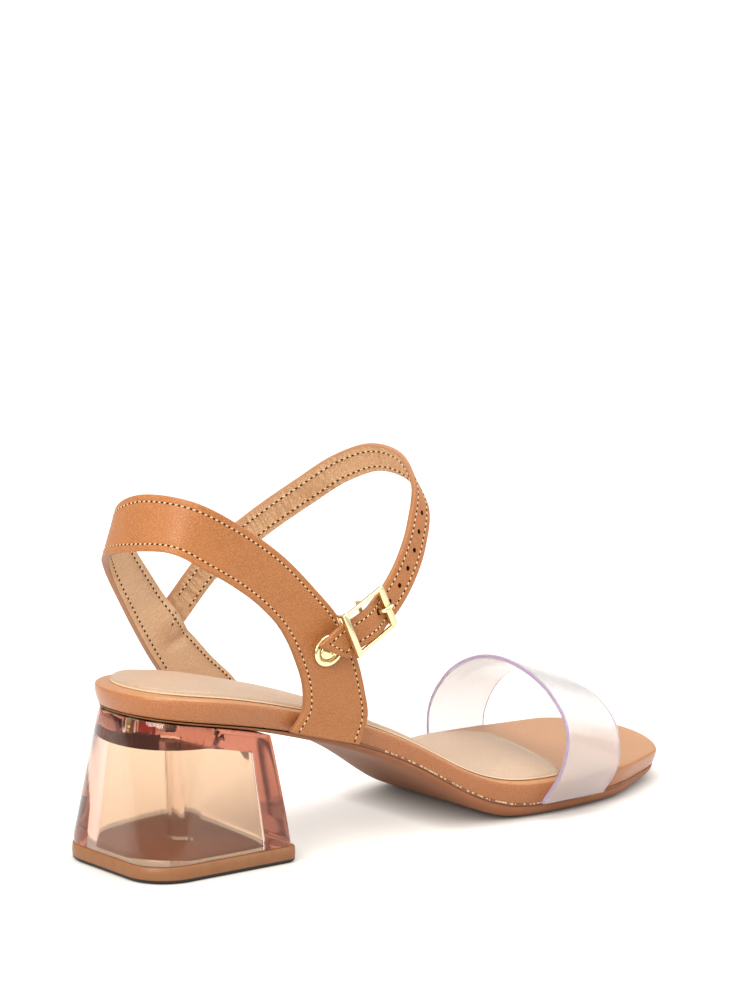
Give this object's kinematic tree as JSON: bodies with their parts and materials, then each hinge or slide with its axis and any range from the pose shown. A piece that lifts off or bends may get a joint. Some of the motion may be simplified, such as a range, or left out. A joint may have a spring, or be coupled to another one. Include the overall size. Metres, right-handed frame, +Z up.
{
  "type": "mid heel sandal",
  "caption": "Mid heel sandal with a square-toed footbed, clear hollow block heel, clear band over the toes, leather heel band and instep strap with a hook buckle.",
  "frame": {"origin": "on the floor, under the middle of the sandal's box", "axes": "+X from heel to toe, +Y to the inner (medial) side, +Z up"},
  "size_m": [0.2452, 0.0935, 0.1331],
  "materials": {
    "tan_leather": "smooth tan leather with a fine grain, satin",
    "beige_lining": "soft beige lining leather, matt",
    "sole_rubber": "moulded brown rubber, satin",
    "clear_vinyl": "clear flexible vinyl, glossy",
    "clear_resin": "clear moulded resin with a warm tint, glossy",
    "tip_rubber": "brown top piece, matt",
    "pale_gold": "polished pale gold plating",
    "screw_steel": "plated steel"
  },
  "bodies": {
    "root": {"outsole": "sole_rubber", "insole": "tan_leather", "sock_pad": "beige_lining", "vamp_strap": "clear_vinyl", "ankle_strap": "tan_leather", "buckle_frame": "pale_gold", "buckle_prong": "pale_gold", "eyelet": "pale_gold", "heel_block": "clear_resin", "heel_tip": "tip_rubber", "heel_screw_1": "screw_steel", "heel_screw_2": "screw_steel", "heel_screw_3": "screw_steel"}
  },
  "joints": []
}
